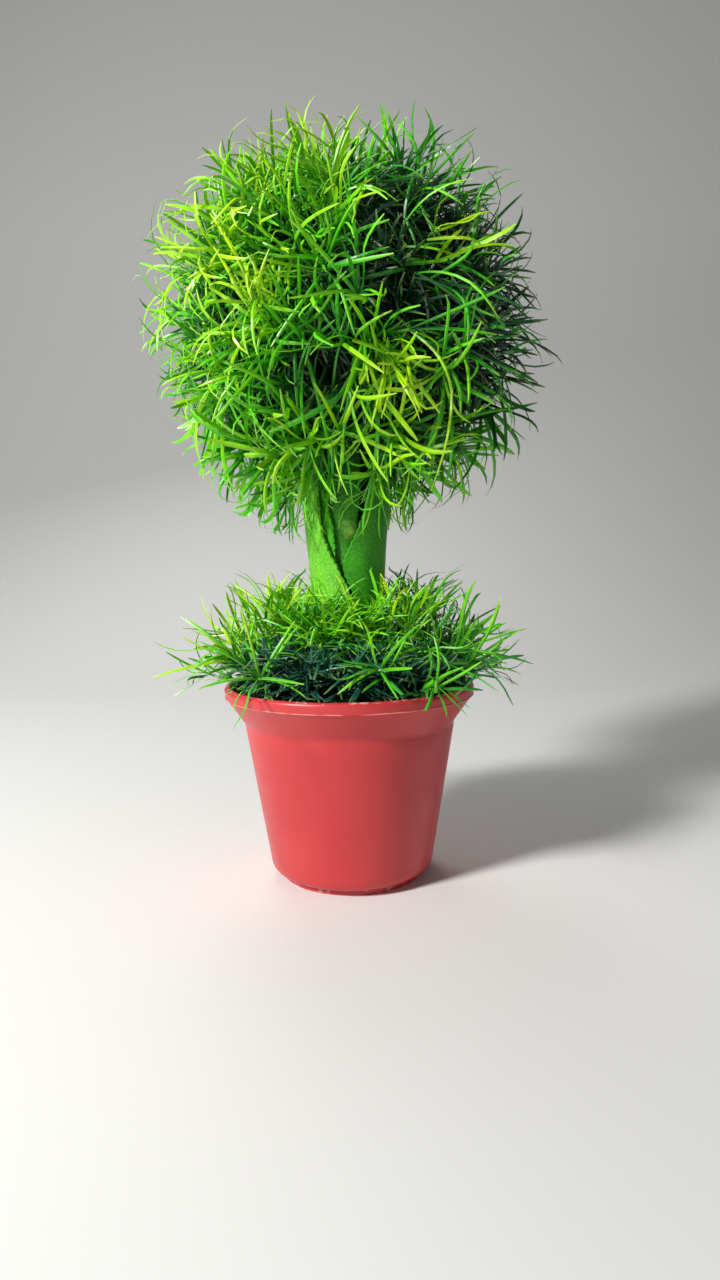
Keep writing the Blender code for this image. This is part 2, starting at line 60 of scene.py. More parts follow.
# %% [markdown]
# ## Camera
#
# The camera looks slightly down at the tree from the front, from a little above the middle of
# the trunk, and close enough for the pot to narrow visibly towards its foot. A short lens at
# arm's length does that; a long lens further away would flatten the pot into a straight-sided
# shape. The small roll is that of a camera held by hand.

# %% Camera
CAMERA_PLACE = (6 * MM, -434 * MM, 168 * MM)
LOOKING_DOWN = 5.87
ROLL = -0.95
camera_data = bpy.data.cameras.new("camera")
camera_data.lens = 23.43
camera_data.sensor_width = 36.0
camera = bpy.data.objects.new("camera", camera_data)
bpy.context.scene.collection.objects.link(camera)
tilt = Matrix.Rotation(math.radians(90 - LOOKING_DOWN), 4, "X")
roll = Matrix.Rotation(math.radians(ROLL), 4, "Z")
camera.matrix_world = Matrix.Translation(CAMERA_PLACE) @ tilt @ roll
bpy.context.scene.camera = camera
print("camera at", tuple(round(v, 3) for v in camera.matrix_world.translation))

# %% [markdown]
# ## Floor and light
#
# The tree stands on a pale sweep: a floor whose back edge is pulled up into a wall, with a wide
# bevel in the corner so that no line shows behind the object. Three soft area lights do the
# rest. The key is high on the left and in front, a weak fill stands on the right, and a third
# one behind lights the thin blades at the rim of the ball. The view transform is the plain one,
# because the filmic one would wash out the bright greens and the red.

# %% Floor and backdrop
def select_none():
    """Nothing selected and nothing active, so that the next operator finds only its own mesh."""
    if bpy.context.object and bpy.context.object.mode != "OBJECT":
        bpy.ops.object.mode_set(mode="OBJECT")
    bpy.ops.object.select_all(action="DESELECT")


def middle_of(points):
    return sum(points, Vector()) / len(points)


def pick_edges(piece, test):
    """Select the edges of a piece whose middle passes a test, and stay in edit mode."""
    bpy.ops.object.mode_set(mode="EDIT")
    bpy.ops.mesh.select_mode(type="EDGE")
    bpy.ops.mesh.select_all(action="DESELECT")
    bpy.ops.object.mode_set(mode="OBJECT")
    for edge in piece.data.edges:
        edge.select = test(middle_of([piece.data.vertices[i].co for i in edge.vertices]))
    bpy.ops.object.mode_set(mode="EDIT")


FLOOR_SIZE = 3.0
BACK_EDGE = 1.4
WALL_HEIGHT = 2.2
CORNER_BEVEL = 0.9

select_none()
bpy.ops.mesh.primitive_plane_add(size=FLOOR_SIZE, location=(0, 0, 0))
sweep = bpy.context.object
sweep.name = "studio_sweep"
pick_edges(sweep, lambda middle: middle.y > BACK_EDGE)
bpy.ops.mesh.extrude_region_move(TRANSFORM_OT_translate={"value": (0, 0, WALL_HEIGHT)})
pick_edges(sweep, lambda middle: middle.y > BACK_EDGE and abs(middle.z) < 0.01)
bpy.ops.mesh.bevel(offset=CORNER_BEVEL, segments=16)
bpy.ops.object.mode_set(mode="OBJECT")
bpy.ops.object.shade_smooth()
print("sweep:", len(sweep.data.polygons), "faces")


# %% Lights
def area_light(name, place, aim, size, power, colour):
    data = bpy.data.lights.new(name, "AREA")
    data.shape = "DISK"
    data.size = size
    data.energy = power
    data.color = colour
    light = bpy.data.objects.new(name, data)
    bpy.context.scene.collection.objects.link(light)
    light.location = place
    light.rotation_euler = (Vector(aim) - Vector(place)).to_track_quat("-Z", "Y").to_euler()


area_light("key", (-0.85, -0.72, 0.85), (0, 0, 0.20), 0.24, 23.0, (1.0, 0.985, 0.95))
area_light("fill", (1.10, -0.80, 0.40), (0, 0, 0.20), 0.90, 0.4, (0.93, 0.97, 1.0))
area_light("rim", (-0.30, 0.90, 0.95), (0, 0, 0.28), 0.60, 4.0, (1.0, 1.0, 0.96))
world = bpy.data.worlds.new("studio")
world.use_nodes = True
world.node_tree.nodes["Background"].inputs["Color"].default_value = (0.86, 0.87, 0.88, 1)
world.node_tree.nodes["Background"].inputs["Strength"].default_value = 0.12
bpy.context.scene.world = world
bpy.context.scene.view_settings.view_transform = "Standard"

# %% [markdown]
# ## Finishes
#
# Every finish is built from nodes. A small helper adds a node and sets its inputs, and a second
# one adds noise that reads Object coordinates, which are metres here, so a scale of 1000 means
# grain of about a millimetre. One number that is the same all over a surface goes straight on the
# shader's own socket.

# %% Node helpers
def finish(name):
    """A new material, with its node tree and its shader."""
    material = bpy.data.materials.new(name)
    material.use_nodes = True
    return material, material.node_tree, material.node_tree.nodes["Principled BSDF"]


def node(tree, kind, inputs=None, **settings):
    """Add a node. An input is a value, or another node's output to link."""
    made = tree.nodes.new(kind)
    for key, value in settings.items():
        setattr(made, key, value)
    for key, value in (inputs or {}).items():
        if isinstance(value, bpy.types.NodeSocket):
            tree.links.new(value, made.inputs[key])
        else:
            made.inputs[key].default_value = value
    return made


def object_place(tree):
    return node(tree, "ShaderNodeTexCoord").outputs["Object"]


def noise(tree, scale, detail=3.0):
    inputs = {"Vector": object_place(tree), "Scale": scale, "Detail": detail}
    return node(tree, "ShaderNodeTexNoise", inputs).outputs["Fac"]


def spread(tree, value, low, high, to_low=0.0, to_high=1.0):
    """Map the range low..high to to_low..to_high, with its ends held."""
    ends = {"From Min": low, "From Max": high, "To Min": to_low, "To Max": to_high}
    return node(tree, "ShaderNodeMapRange", {"Value": value, **ends}).outputs["Result"]


def maths(tree, operation, a, b=0.5):
    return node(tree, "ShaderNodeMath", {0: a, 1: b}, operation=operation).outputs["Value"]


def mixed(tree, share, a, b, blend="MIX"):
    """Mix two colours. The mix node's sockets 0, 6, 7 and 2 are its share, colours and result."""
    kinds = {"data_type": "RGBA", "blend_type": blend}
    return node(tree, "ShaderNodeMix", {0: share, 6: a, 7: b}, **kinds).outputs[2]


def ramp(tree, value, stops):
    """Colours along a value: stops are (position, red, green, blue), from low to high."""
    made = node(tree, "ShaderNodeValToRGB", {"Fac": value})
    while len(made.color_ramp.elements) < len(stops):
        made.color_ramp.elements.new(0.5)
    for element, (place, *colour) in zip(made.color_ramp.elements, stops):
        element.position = place
        element.color = (*colour, 1)
    return made.outputs["Color"]


def attribute(tree, name):
    return node(tree, "ShaderNodeAttribute", attribute_name=name).outputs["Fac"]


def bump(tree, shader, height, distance, strength=0.5):
    sizes = {"Height": height, "Distance": distance, "Strength": strength}
    tree.links.new(node(tree, "ShaderNodeBump", sizes).outputs["Normal"], shader.inputs["Normal"])


print("node helpers ready")

# %% [markdown]
# ## Blade plastic
#
# The foliage is soft moulded polythene, coloured in the mass. Each moulded sprig comes in its own
# shade, from blue-green through bright green to yellow-green, and every blade is paler at its
# thin tip than at its root. Two values are stored on the blades' vertices when they are made:
# tone, the shade, and along, from 0 at the root to 1 at the tip. The material turns tone into a
# colour, shifts it by slow noise so that neighbours differ, and darkens the roots, partly because
# the inner stems are a darker green and partly as painted shade deep among the blades. Fine noise
# in the gloss and a fine bump break up the highlights.

# %% Blade materials
def blade_finish(name, shades, gloss):
    material, tree, shader = finish(name)
    along = attribute(tree, "along")
    drift = spread(tree, noise(tree, 55), 0.3, 0.7, -0.07, 0.07)
    tone = maths(tree, "ADD", attribute(tree, "tone"), drift)
    colour = ramp(tree, tone, shades)
    # Painted shade, partly a darker green of the inner stems: each blade darkens towards its root,
    # deep among the others.
    depth = spread(tree, along, 0.0, 0.60, 0.15, 1.0)
    dark = mixed(tree, 1.0, colour, (0.32, 0.50, 0.42, 1), "MULTIPLY")
    colour = mixed(tree, depth, dark, colour)
    pale = spread(tree, along, 0.80, 1.0, 0.0, 0.30)
    colour = mixed(tree, pale, colour, (0.55, 0.85, 0.16, 1))
    tree.links.new(colour, shader.inputs["Base Color"])
    rough = spread(tree, noise(tree, 420), 0.3, 0.7, gloss, gloss + 0.16)
    tree.links.new(rough, shader.inputs["Roughness"])
    shader.inputs["Specular IOR Level"].default_value = 0.55
    bump(tree, shader, noise(tree, 1600, 2.0), 0.15 * MM, 0.35)
    return material


BALL_SHADES = (
    (0.00, 0.006, 0.045, 0.018),
    (0.20, 0.012, 0.130, 0.020),
    (0.40, 0.040, 0.400, 0.006),
    (0.60, 0.120, 0.620, 0.004),
    (0.80, 0.260, 0.680, 0.003),
    (1.00, 0.400, 0.700, 0.004),
)
GRASS_SHADES = (
    (0.00, 0.010, 0.085, 0.058),
    (0.22, 0.014, 0.160, 0.060),
    (0.44, 0.045, 0.410, 0.010),
    (0.68, 0.160, 0.640, 0.004),
    (1.00, 0.420, 0.680, 0.004),
)
ball_plastic = blade_finish("ball_blade_plastic", BALL_SHADES, 0.30)
grass_plastic = blade_finish("pot_grass_plastic", GRASS_SHADES, 0.32)
print("blade plastics:", ball_plastic.name, grass_plastic.name)

# %% [markdown]
# ## Leaf, pot and frame finishes
#
# The leaves round the trunk are thicker sheet with a pebbled skin, so they get a strong fine
# bump and patches of lighter green. The right leaf and the two sunken inner leaves get darker
# copies of that plastic as painted shade, and the heart leaf a painted highlight. The pot is
# polished polypropylene with a slight orange peel.
# Its lip carries a ragged pale line where the two halves of the mould met, and there are small
# pale chips along the rim and the foot. They all come from the height of the surface, masked by
# noise.

# %% Leaf plastic
BALL_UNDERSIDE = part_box("ball_hub")[0].z


def leaf_finish(name, deep, bright, sheen_patch, painted_highlight_spot=None):
    """Pebbled leaf plastic, with a painted highlight, a pale glossy spot, at (x, y, z) if one is
    given.
    """
    material, tree, shader = finish(name)
    patches = spread(tree, noise(tree, 38, 2.0), 0.35, 0.65)
    colour = mixed(tree, patches, (*deep, 1), (*bright, 1))
    pebbles = noise(tree, 800, 3.0)
    colour = mixed(tree, spread(tree, pebbles, 0.44, 0.66, 0.0, 0.45), colour, (*sheen_patch, 1))
    # Painted highlight: a pale glossy spot that fades with the distance from its middle.
    if painted_highlight_spot:
        ends = {0: object_place(tree), 1: painted_highlight_spot}
        away = node(tree, "ShaderNodeVectorMath", ends, operation="DISTANCE").outputs["Value"]
        ragged = spread(tree, noise(tree, 160), 0.3, 0.7, -2.5 * MM, 2.5 * MM)
        away = maths(tree, "ADD", away, ragged)
        highlight_share = spread(tree, away, 0.5 * MM, 5.0 * MM, 0.80, 0.0)
        colour = mixed(tree, highlight_share, colour, (0.45, 0.75, 0.12, 1))
    tree.links.new(colour, shader.inputs["Base Color"])
    tree.links.new(spread(tree, pebbles, 0.3, 0.7, 0.40, 0.56), shader.inputs["Roughness"])
    shader.inputs["Specular IOR Level"].default_value = 0.35
    bump(tree, shader, pebbles, 0.35 * MM, 0.85)
    return material


outer_leaf_plastic = leaf_finish(
    "outer_leaf_plastic", (0.042, 0.32, 0.008), (0.130, 0.52, 0.014), (0.34, 0.74, 0.09)
)
# Painted shade: a darker copy of the leaf plastic, for the right leaf and the sunken second leaf.
shaded_leaf_plastic = leaf_finish(
    "shaded_leaf_plastic", (0.018, 0.22, 0.006), (0.050, 0.40, 0.010), (0.16, 0.58, 0.04)
)
# Painted shade and highlight: the sunken heart leaf is a darker copy of the leaf plastic, with a
# painted glossy spot.
shaded_heart_leaf_plastic = leaf_finish(
    "shaded_heart_leaf_plastic", (0.012, 0.15, 0.005), (0.036, 0.30, 0.008), (0.13, 0.48, 0.03),
    (2.0 * MM, -18.0 * MM, BALL_UNDERSIDE - 59.0 * MM),
)
leaf_plastics = (outer_leaf_plastic, shaded_leaf_plastic, shaded_heart_leaf_plastic)
print("leaf plastics:", [material.name for material in leaf_plastics])

# %% Pot plastic
pot_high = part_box("pot")[1]
RIM_HEIGHT = pot_high.z
PARTING_HEIGHT = RIM_HEIGHT - 5.6 * MM
pot_plastic, tree, shader = finish("pot_plastic")
split = node(tree, "ShaderNodeSeparateXYZ", {"Vector": object_place(tree)}).outputs
wander = spread(tree, noise(tree, 110, 3.0), 0.3, 0.7, -0.18 * MM, 0.18 * MM)
height = maths(tree, "ADD", split["Z"], wander)
off_line = maths(tree, "ABSOLUTE", maths(tree, "SUBTRACT", height, PARTING_HEIGHT))
line = spread(tree, off_line, 0.10 * MM, 0.30 * MM, 0.65, 0.0)
line = maths(tree, "MULTIPLY", line, spread(tree, noise(tree, 90, 4.0), 0.36, 0.52))
near_rim = spread(tree, split["Z"], RIM_HEIGHT - 0.9 * MM, RIM_HEIGHT - 0.1 * MM)
chips = maths(tree, "MULTIPLY", near_rim, spread(tree, noise(tree, 260, 4.0), 0.53, 0.63))
near_foot = spread(tree, split["Z"], 2.6 * MM, 4.2 * MM, 1.0, 0.0)
scuffs = maths(tree, "MULTIPLY", near_foot, spread(tree, noise(tree, 260, 4.0), 0.55, 0.68))
wear = maths(tree, "MAXIMUM", maths(tree, "MAXIMUM", line, chips), scuffs)
tint = spread(tree, noise(tree, 16, 2.0), 0.35, 0.65)
red = mixed(tree, tint, (0.52, 0.032, 0.036, 1), (0.61, 0.046, 0.050, 1))
worn = mixed(tree, maths(tree, "MULTIPLY", wear, 0.8), red, (0.92, 0.50, 0.42, 1))
tree.links.new(worn, shader.inputs["Base Color"])
rough = spread(tree, noise(tree, 90, 3.0), 0.3, 0.7, 0.30, 0.40)
rough = maths(tree, "ADD", rough, maths(tree, "MULTIPLY", wear, 0.3))
tree.links.new(rough, shader.inputs["Roughness"])
shader.inputs["Specular IOR Level"].default_value = 0.5
bump(tree, shader, noise(tree, 420, 2.0), 0.05 * MM, 0.30)
print("pot plastic: parting line", round(PARTING_HEIGHT / MM, 1), "mm up")

# %% [markdown]
# The parts inside are plainer. The ball's frame and hub are dark green moulded plastic that
# shines between the blades, the pole and its sleeve are the same green but duller, the foam is
# dry green florist's foam with open cells, and the ballast is grey cement with pits.

# %% Inner finishes
def plain_finish(name, dark, light, scale, gloss, grain, depth):
    material, tree, shader = finish(name)
    colour = mixed(tree, spread(tree, noise(tree, scale), 0.3, 0.7), (*dark, 1), (*light, 1))
    tree.links.new(colour, shader.inputs["Base Color"])
    rough = spread(tree, noise(tree, scale * 4), 0.3, 0.7, gloss, gloss + 0.15)
    tree.links.new(rough, shader.inputs["Roughness"])
    bump(tree, shader, noise(tree, grain, 3.0), depth, 0.6)
    return material


FINISHES = {
    "frame": plain_finish(
        "frame_plastic", (0.008, 0.060, 0.022), (0.014, 0.105, 0.034), 60, 0.22, 700, 0.08 * MM
    ),
    "mat": plain_finish(
        "mat_plastic", (0.008, 0.050, 0.020), (0.016, 0.085, 0.030), 80, 0.45, 500, 0.15 * MM
    ),
    "pole": plain_finish(
        "pole_plastic", (0.010, 0.085, 0.018), (0.018, 0.140, 0.028), 50, 0.38, 600, 0.10 * MM
    ),
    "foam": plain_finish(
        "florist_foam", (0.030, 0.110, 0.035), (0.060, 0.190, 0.060), 300, 0.85, 1100, 0.60 * MM
    ),
    "cement": plain_finish(
        "cast_cement", (0.30, 0.29, 0.27), (0.46, 0.45, 0.42), 120, 0.80, 700, 0.50 * MM
    ),
}
CAD_FINISHES = {
    "upper_ball_frame": "frame",
    "lower_ball_frame": "frame",
    "ball_hub": "frame",
    "grass_mat": "mat",
    "trunk_pole": "pole",
    "trunk_sleeve": "pole",
    "foam_plug": "foam",
    "ballast_block": "cement",
}
for name, kind in CAD_FINISHES.items():
    mesh = frame["nodes"][name].data
    mesh.materials.clear()
    mesh.materials.append(FINISHES[kind])
print("finished CAD parts:", ", ".join(CAD_FINISHES))

# %% [markdown]
# ## The pot
#
# The real pot is injection moulded: a rounded lip, a flared collar under it, a soft neck, a
# tapering body, and a small foot set in under a round corner. It could be drawn as an outline
# and spun round the axis. Here a circle is started at the foot instead and extruded ring by ring
# up the outside, over the lip and down the inside, resized at each step, because each step is
# then a line in a table that reads like the pot's own profile.

# %% Profile of the pot
def corner(middle, radius, start, end, steps):
    """Points of a rounded corner about its middle, from one angle to another, in degrees."""
    angles = [math.radians(start + (end - start) * i / steps) for i in range(steps + 1)]
    return [(middle[0] + radius * math.cos(a), middle[1] + radius * math.sin(a)) for a in angles]


def straight(a, b, steps):
    """The points that divide a line into equal steps, without its ends."""
    run, rise = b[0] - a[0], b[1] - a[1]
    return [(a[0] + run * i / steps, a[1] + rise * i / steps) for i in range(1, steps)]


RIM = pot_high.x
foot_ring = [(36.5 * MM, 0.0), (36.9 * MM, 0.4 * MM), (36.9 * MM, 2.6 * MM), (37.4 * MM, 3.0 * MM)]
base = corner((37.0 * MM, 9.0 * MM), 6.0 * MM, -80, -4, 8)
neck = corner((60.5 * MM, 80.0 * MM), 6.0 * MM, 186, 150, 7)
lip_under = [(RIM - 1.1 * MM, RIM_HEIGHT - 6.3 * MM), (RIM - 0.5 * MM, RIM_HEIGHT - 5.9 * MM)]
flash = [(RIM - 0.1 * MM, RIM_HEIGHT - 5.6 * MM), (RIM - 0.45 * MM, RIM_HEIGHT - 5.2 * MM)]
lip_face = [(RIM - 0.35 * MM, RIM_HEIGHT - 4.0 * MM), (RIM - 0.1 * MM, RIM_HEIGHT - 2.8 * MM)]
lip = corner((RIM - 2.0 * MM, RIM_HEIGHT - 2.0 * MM), 2.0 * MM, 0, 90, 7)
inner_lip = [(RIM - 2.9 * MM, RIM_HEIGHT - 0.25 * MM), (RIM - 3.3 * MM, RIM_HEIGHT - 1.0 * MM)]
inner = [(52.3 * MM, 78.0 * MM), (41.0 * MM, 9.0 * MM)]
inner += [(37.0 * MM, 5.2 * MM), (34.3 * MM, 2.2 * MM)]
profile = foot_ring + base + straight(base[-1], neck[0], 10) + neck
profile += straight(neck[-1], lip_under[0], 4) + lip_under + flash + lip_face + lip + inner_lip
profile += straight(inner_lip[-1], inner[0], 4) + inner
print("pot profile:", len(profile), "rings")

# %% Extrude the pot
POT_SIDES = 120


def set_material(piece, material):
    piece.data.materials.clear()
    piece.data.materials.append(material)


def apply_smooth(piece, degrees):
    select_none()
    piece.select_set(True)
    bpy.context.view_layer.objects.active = piece
    bpy.ops.object.shade_smooth_by_angle(angle=math.radians(degrees))


select_none()
bpy.ops.mesh.primitive_circle_add(vertices=POT_SIDES, radius=profile[0][0], fill_type="NGON")
pot_shell = bpy.context.object
pot_shell.name = "pot_shell"
bpy.ops.object.mode_set(mode="EDIT")
bpy.ops.mesh.select_all(action="SELECT")
radius, level = profile[0]
for wider, higher in profile[1:]:
    bpy.ops.mesh.extrude_region_move(TRANSFORM_OT_translate={"value": (0, 0, higher - level)})
    share = wider / radius
    bpy.ops.transform.resize(value=(share, share, 1), center_override=(0, 0, higher))
    radius, level = wider, higher
bpy.ops.mesh.select_all(action="SELECT")
bpy.ops.mesh.normals_make_consistent(inside=False)
bpy.ops.object.mode_set(mode="OBJECT")
apply_smooth(pot_shell, 32)
set_material(pot_shell, pot_plastic)
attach(pot_shell, "stand")
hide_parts("pot")
print("pot:", len(pot_shell.data.polygons), "faces, rim", round(2 * pot_high.x / MM), "mm across")

# %% [markdown]
# ## Leaves round the trunk
#
# Five leaves are wrapped round the trunk like the sheath of a leek. Each is a strip between two
# edges, cut with rounded teeth, and bowed so that it hugs the leaves under it. A grid primitive
# gives the rows and columns; each of its vertices is then wrapped to its height and angle, and a
# Solidify modifier gives the sheet its thickness. Bending a flat cut-out would work too, but the
# free edges slant so much that the teeth would shear.

# %% Shape of the trunk
LEAF_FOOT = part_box("outer_leaf_left")[0].z
LEAF_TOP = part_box("outer_leaf_left")[1].z
LEAF_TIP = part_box("middle_leaf")[1].z
LEAF_SHEET = 1.1 * MM
trunk_radii = (
    (LEAF_FOOT, 17.2 * MM),
    (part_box("grass_mat")[1].z, 18.2 * MM),
    (BALL_UNDERSIDE - 82.0 * MM, 19.3 * MM),
    (BALL_UNDERSIDE - 57.0 * MM, 21.4 * MM),
    (BALL_UNDERSIDE - 37.0 * MM, 23.3 * MM),
    (BALL_UNDERSIDE - 6.5 * MM, 19.0 * MM),
    (BALL_UNDERSIDE + 1.0 * MM, 16.5 * MM),
    (BALL_UNDERSIDE + 26.0 * MM, 14.8 * MM),
)


def between(points, at):
    """Read a value off a line of (position, value) points."""
    if at <= points[0][0]:
        return points[0][1]
    for (a, low), (b, high) in zip(points, points[1:]):
        if at <= b:
            share = (at - a) / (b - a)
            return low + (high - low) * share
    return points[-1][1]


def eased(points, at, reach=5 * MM):
    """The same value, averaged over a short reach so that no corner shows."""
    return sum(between(points, at + reach * k / 2) for k in (-2, -1, 0, 1, 2)) / 5


print("trunk leaves from", round(LEAF_FOOT / MM, 1), "to", round(LEAF_TOP / MM, 1), "mm")


# %% Wrap a toothed leaf
def tooth(height, pitch, seed):
    """How far a rounded tooth stands out at a height, from 0 in a notch to 1 at its crown."""
    place = height / pitch + 0.10 * math.sin(height / pitch * 1.7 + seed) + seed
    share = place % 1.0
    return math.sqrt(max(0.0, 1 - (2 * share - 1) ** 2)) * (0.82 + 0.18 * math.sin(place * 2.1))


LEAF_ROWS = 300
LEAF_COLUMNS = 28
TOOTH_PITCH = 3.2 * MM
CURL_WIDTH = 6 * MM


def wrapped_leaf(name, node_name, depth, top, left, right, material, lift, teeth):
    """A leaf from its left edge to its right one, given as (height, degrees round +Z) points.

    depth is how far the sheet lies under the trunk's outside, and lift is how far its left and
    right edges curl away from it.
    """
    select_none()
    cuts = {"x_subdivisions": LEAF_COLUMNS, "y_subdivisions": LEAF_ROWS}
    bpy.ops.mesh.primitive_grid_add(size=2, **cuts)
    leaf = bpy.context.object
    leaf.name = name
    for v in leaf.data.vertices:
        across, up = (v.co.x + 1) / 2, (v.co.y + 1) / 2
        height = LEAF_FOOT + (top - LEAF_FOOT) * up
        radius = eased(trunk_radii, height) - depth
        start = math.radians(eased(left, height))
        end = math.radians(eased(right, height))
        start -= teeth * tooth(height, TOOTH_PITCH, 0.3) / radius
        end += teeth * tooth(height, TOOTH_PITCH, 0.8) / radius
        angle = start + (end - start) * across
        near_left = max(0.0, 1 - (angle - start) * radius / CURL_WIDTH) ** 2
        near_right = max(0.0, 1 - (end - angle) * radius / CURL_WIDTH) ** 2
        radius += lift[0] * near_left + lift[1] * near_right
        radius += 0.25 * MM * math.sin(angle * 3 + height * 70) * math.sin(height * 110)
        v.co = (radius * math.cos(angle), radius * math.sin(angle), height)
    bpy.ops.object.mode_set(mode="EDIT")
    bpy.ops.mesh.select_all(action="SELECT")
    bpy.ops.mesh.normals_make_consistent(inside=False)
    bpy.ops.object.mode_set(mode="OBJECT")
    middle = leaf.data.polygons[len(leaf.data.polygons) // 2]
    if middle.normal.dot(Vector((middle.center.x, middle.center.y, 0))) < 0:
        bpy.ops.object.mode_set(mode="EDIT")
        bpy.ops.mesh.flip_normals()
        bpy.ops.object.mode_set(mode="OBJECT")
    sheet = leaf.modifiers.new("sheet", "SOLIDIFY")
    sheet.thickness = LEAF_SHEET
    sheet.offset = -1
    bpy.ops.object.modifier_apply(modifier="sheet")
    apply_smooth(leaf, 50)
    set_material(leaf, material)
    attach(leaf, "stand")
    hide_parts(node_name)
    return leaf


WAIST, MIDDLE, FLARE = (trunk_radii[i][0] for i in (2, 3, 4))
left_edge = [(LEAF_FOOT, -70), (WAIST - 7 * MM, -88), (WAIST, -98), (WAIST + 11 * MM, -113)]
left_edge += [(MIDDLE - 8 * MM, -122), (MIDDLE, -127), (FLARE, -127), (LEAF_TOP, -130)]
right_edge = [(LEAF_FOOT, -58), (WAIST - 8 * MM, -76), (WAIST, -89), (WAIST + 6 * MM, -97)]
right_edge += [(WAIST + 14 * MM, -84), (MIDDLE, -70), (FLARE - 8 * MM, -60), (LEAF_TOP, -46)]
heart_left = [(LEAF_FOOT, -106), (WAIST + 10 * MM, -108), (MIDDLE, -116)]
heart_left += [(FLARE, -122), (LEAF_TIP, -124)]
heart_right = [(LEAF_FOOT, -70), (WAIST + 10 * MM, -78), (MIDDLE, -73)]
heart_right += [(FLARE, -66), (LEAF_TIP, -66)]
leaves = [
    wrapped_leaf(
        "sheath_leaf_left", "outer_leaf_left", 0.0, LEAF_TOP,
        [(LEAF_FOOT, -238), (LEAF_TOP, -207)], left_edge,
        outer_leaf_plastic, (0.0, 1.2 * MM), 1.1 * MM,
    ),
    wrapped_leaf(
        "sheath_leaf_right", "outer_leaf_right", 0.2 * MM, LEAF_TOP,
        right_edge, [(LEAF_FOOT, 62), (LEAF_TOP, 40)],
        shaded_leaf_plastic, (0.8 * MM, 0.0), 1.1 * MM,
    ),
    wrapped_leaf(
        "sheath_leaf_rear", "rear_leaf", 0.2 * MM, LEAF_TOP,
        [(LEAF_FOOT, 64), (LEAF_TOP, 43)], [(LEAF_FOOT, 120), (LEAF_TOP, 150)],
        outer_leaf_plastic, (0.0, 0.4 * MM), 0.8 * MM,
    ),
    wrapped_leaf(
        "second_leaf_left", "inner_leaf_left", 2.4 * MM, LEAF_TOP,
        [(LEAF_FOOT, -200), (LEAF_TOP, -215)],
        [(LEAF_FOOT, -104), (MIDDLE, -111), (FLARE, -124), (LEAF_TOP, -128)],
        shaded_leaf_plastic, (0.0, 0.9 * MM), 1.1 * MM,
    ),
    wrapped_leaf(
        "heart_leaf", "middle_leaf", 4.6 * MM, LEAF_TIP, heart_left, heart_right,
        shaded_heart_leaf_plastic, (0.0, 0.0), 0.5 * MM,
    ),
]
print("leaves:", [(leaf.name, len(leaf.data.polygons)) for leaf in leaves])

# %% [markdown]
# ## One blade
#
# A blade is a narrow channelled strip, thickest along its keel, that widens from its root,
# tapers to a fine tip and bends one way, sometimes back again. Its section is a flattened
# four-cornered ring with the inner corner pushed in. The ring is extruded in seven short steps;
# after each step it is turned by that step's bend and resized to the blade's width there. Hair
# curves would be quicker to scatter but have no crease and no thickness, and thousands of copies
# need a mesh this light anyway.

# %% Extrude along a bend
def grown(name, section, widths, length, bends):
    """Extrude a ring in equal steps: widths are shares of the section, bends are in degrees.

    The shape starts at the origin along +Z and bends towards +X. Each vertex gets along, its
    place from root to tip.
    """
    sides, across, thick, channel = section
    select_none()
    bpy.ops.mesh.primitive_circle_add(vertices=sides, radius=0.5, fill_type="NGON")
    piece = bpy.context.object
    piece.name = name
    for v in piece.data.vertices:
        inner = channel if v.co.x > 0.4 else 0.0
        v.co = Vector(((v.co.x - inner) * thick, v.co.y * across, 0)) * widths[0]
    bpy.ops.object.mode_set(mode="EDIT")
    bpy.ops.mesh.select_all(action="SELECT")
    heading, middle = 0.0, Vector()
    stations = [middle.copy()]
    step = length / len(bends)
    for bend, width, wider in zip(bends, widths, widths[1:]):
        heading += math.radians(bend)
        move = Vector((math.sin(heading), 0, math.cos(heading))) * step
        bpy.ops.mesh.extrude_region_move(TRANSFORM_OT_translate={"value": move})
        middle += move
        turn = {"orient_axis": "Y", "center_override": middle}
        bpy.ops.transform.rotate(value=-math.radians(bend), **turn)
        share = wider / width
        bpy.ops.transform.resize(value=(share, share, share), center_override=middle)
        stations.append(middle.copy())
    bpy.ops.mesh.select_all(action="SELECT")
    bpy.ops.mesh.normals_make_consistent(inside=False)
    bpy.ops.object.mode_set(mode="OBJECT")
    along = piece.data.attributes.new("along", "FLOAT", "POINT")
    for v, value in zip(piece.data.vertices, along.data):
        nearest = min(range(len(stations)), key=lambda i: (stations[i] - v.co).length)
        value.value = nearest / (len(stations) - 1)
    piece.data.attributes.new("tone", "FLOAT", "POINT")
    piece.data.attributes.new("part", "INT", "POINT")
    return piece


BLADE_WIDTHS = (0.75, 0.90, 1.00, 1.00, 0.98, 0.92, 0.76, 0.30)
BLADE_SECTION = (4, 1.60 * MM, 0.90 * MM, 0.55)
BENDS = {
    "gentle": (2, 4, 6, 7, 7, 7, 6),
    "arched": (4, 8, 12, 13, 12, 10, 7),
    "hooked": (0, 2, 4, 10, 18, 22, 18),
    "swayed": (-8, -11, -6, 8, 15, 16, 12),
    "reflexed": (9, 13, 9, 2, -10, -15, -12),
    "straight": (1, 2, 3, 3, 3, 3, 3),
}
BLADES = []
for kind, bends in BENDS.items():
    for length in (29 * MM, 40 * MM):
        BLADES.append(grown(f"{kind}_blade", BLADE_SECTION, BLADE_WIDTHS, length, bends))
print("blades:", len(BLADES), "with", len(BLADES[0].data.polygons), "faces each")

